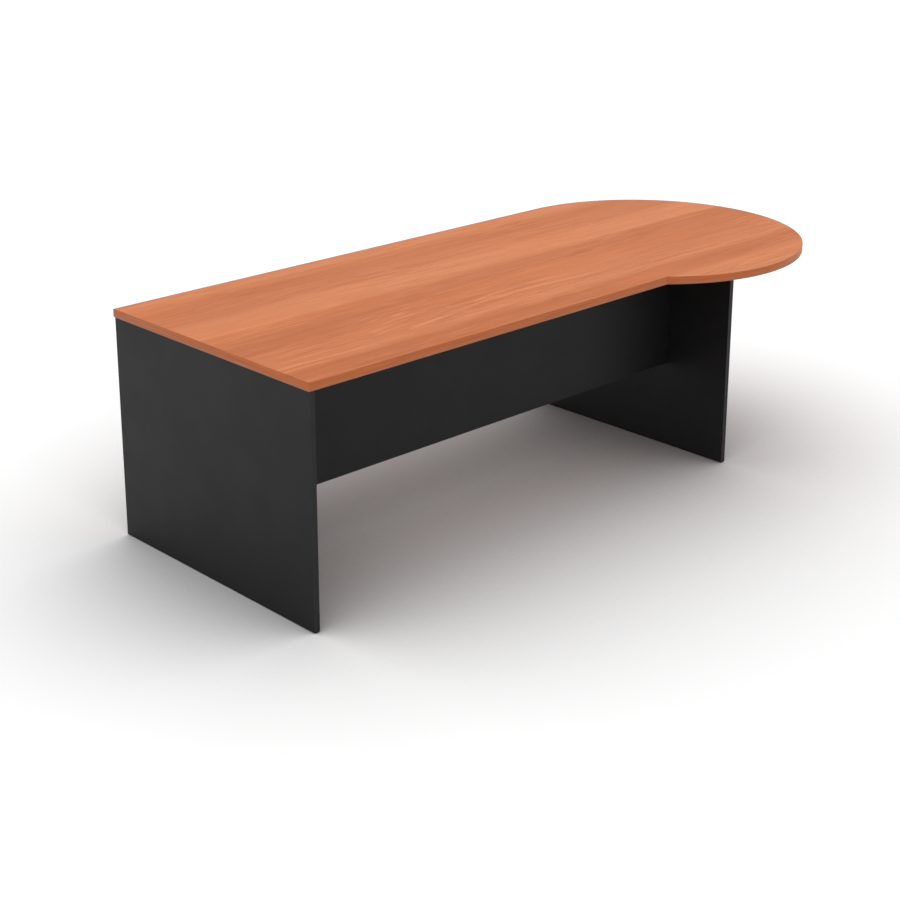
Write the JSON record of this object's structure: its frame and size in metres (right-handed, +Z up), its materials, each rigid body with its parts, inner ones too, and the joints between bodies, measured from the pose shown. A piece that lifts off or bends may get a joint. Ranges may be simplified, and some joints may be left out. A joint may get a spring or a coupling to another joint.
{
  "type": "executive desk",
  "caption": "Office desk with a cherry board top that ends in a round meeting end, on charcoal end panels with a set-back modesty panel and levelling feet.",
  "frame": {"origin": "on the floor, under the middle of the top's bounding box", "axes": "+X along the desk towards the round end, +Y to the user's side, +Z up"},
  "size_m": [2.32, 1.04, 0.72],
  "materials": {
    "cherry_board": "satin cherry laminate",
    "cherry_edge": "satin cherry edging",
    "charcoal_board": "satin charcoal laminate",
    "charcoal_edge": "satin charcoal edging",
    "bright_steel": "zinc plated",
    "cast_zinc": "die cast",
    "black_plastic": "matt",
    "beech": "bare fluted dowel"
  },
  "bodies": {
    "desk": {"top_panel": "cherry_board", "modesty_panel": "charcoal_board", "left_end_panel": "charcoal_board", "right_end_panel": "charcoal_board", "top_left_edge_band": "cherry_edge", "top_near_edge_band": "cherry_edge", "top_round_end_band": "cherry_edge", "modesty_panel_bottom_band": "charcoal_edge", "left_end_panel_front_band": "charcoal_edge", "left_end_panel_back_band": "charcoal_edge", "left_end_panel_foot_band": "charcoal_edge", "right_end_panel_front_band": "charcoal_edge", "right_end_panel_back_band": "charcoal_edge", "right_end_panel_foot_band": "charcoal_edge", "left_panel_to_top_bolt_1": "bright_steel", "left_panel_to_top_cam_lock_1": "cast_zinc", "left_panel_to_top_cam_cap_1": "black_plastic", "left_panel_to_top_bolt_2": "bright_steel", "left_panel_to_top_cam_lock_2": "cast_zinc", "left_panel_to_top_cam_cap_2": "black_plastic", "left_panel_to_top_dowel_1": "beech", "left_panel_to_top_dowel_2": "beech", "right_panel_to_top_bolt_1": "bright_steel", "right_panel_to_top_cam_lock_1": "cast_zinc", "right_panel_to_top_cam_cap_1": "black_plastic", "right_panel_to_top_bolt_2": "bright_steel", "right_panel_to_top_cam_lock_2": "cast_zinc", "right_panel_to_top_cam_cap_2": "black_plastic", "right_panel_to_top_dowel_1": "beech", "right_panel_to_top_dowel_2": "beech", "modesty_to_left_panel_bolt_1": "bright_steel", "modesty_to_left_panel_cam_lock_1": "cast_zinc", "modesty_to_left_panel_cam_cap_1": "black_plastic", "modesty_to_left_panel_bolt_2": "bright_steel", "modesty_to_left_panel_cam_lock_2": "cast_zinc", "modesty_to_left_panel_cam_cap_2": "black_plastic", "modesty_to_left_panel_dowel_1": "beech", "modesty_to_right_panel_bolt_1": "bright_steel", "modesty_to_right_panel_cam_lock_1": "cast_zinc", "modesty_to_right_panel_cam_cap_1": "black_plastic", "modesty_to_right_panel_bolt_2": "bright_steel", "modesty_to_right_panel_cam_lock_2": "cast_zinc", "modesty_to_right_panel_cam_cap_2": "black_plastic", "modesty_to_right_panel_dowel_1": "beech", "modesty_to_top_dowel_1": "beech", "modesty_to_top_dowel_2": "beech", "left_front_foot_insert": "cast_zinc", "left_back_foot_insert": "cast_zinc", "right_front_foot_insert": "cast_zinc", "right_back_foot_insert": "cast_zinc"},
    "left_front_foot_base": {"left_front_foot_base": "black_plastic"},
    "left_front_foot_stem": {"left_front_foot_stem": "bright_steel"},
    "left_back_foot_base": {"left_back_foot_base": "black_plastic"},
    "left_back_foot_stem": {"left_back_foot_stem": "bright_steel"},
    "right_front_foot_base": {"right_front_foot_base": "black_plastic"},
    "right_front_foot_stem": {"right_front_foot_stem": "bright_steel"},
    "right_back_foot_base": {"right_back_foot_base": "black_plastic"},
    "right_back_foot_stem": {"right_back_foot_stem": "bright_steel"}
  },
  "joints": [
    {"name": "left_front_foot_travel", "type": "slide", "parent": "desk", "child": "left_front_foot_base", "axis": [0, 0, -1], "range_m": [0, 0.012]},
    {"name": "left_front_foot_turn", "type": "hinge", "parent": "left_front_foot_base", "child": "left_front_foot_stem", "pos_m": [-1.146, -0.315, 0], "axis": [0, 0, -1], "range_deg": [0, 3460]},
    {"name": "left_back_foot_travel", "type": "slide", "parent": "desk", "child": "left_back_foot_base", "axis": [0, 0, -1], "range_m": [0, 0.012]},
    {"name": "left_back_foot_turn", "type": "hinge", "parent": "left_back_foot_base", "child": "left_back_foot_stem", "pos_m": [-1.146, 0.459, 0], "axis": [0, 0, -1], "range_deg": [0, 3460]},
    {"name": "right_front_foot_travel", "type": "slide", "parent": "desk", "child": "right_front_foot_base", "axis": [0, 0, -1], "range_m": [0, 0.012]},
    {"name": "right_front_foot_turn", "type": "hinge", "parent": "right_front_foot_base", "child": "right_front_foot_stem", "pos_m": [0.626, -0.315, 0], "axis": [0, 0, -1], "range_deg": [0, 3460]},
    {"name": "right_back_foot_travel", "type": "slide", "parent": "desk", "child": "right_back_foot_base", "axis": [0, 0, -1], "range_m": [0, 0.012]},
    {"name": "right_back_foot_turn", "type": "hinge", "parent": "right_back_foot_base", "child": "right_back_foot_stem", "pos_m": [0.626, 0.459, 0], "axis": [0, 0, -1], "range_deg": [0, 3460]}
  ],
  "couplings": [
    {"joint": "left_front_foot_turn", "follows": "left_front_foot_travel", "rad_per_m": 5026.5},
    {"joint": "left_back_foot_turn", "follows": "left_back_foot_travel", "rad_per_m": 5026.5},
    {"joint": "right_front_foot_turn", "follows": "right_front_foot_travel", "rad_per_m": 5026.5},
    {"joint": "right_back_foot_turn", "follows": "right_back_foot_travel", "rad_per_m": 5026.5}
  ]
}
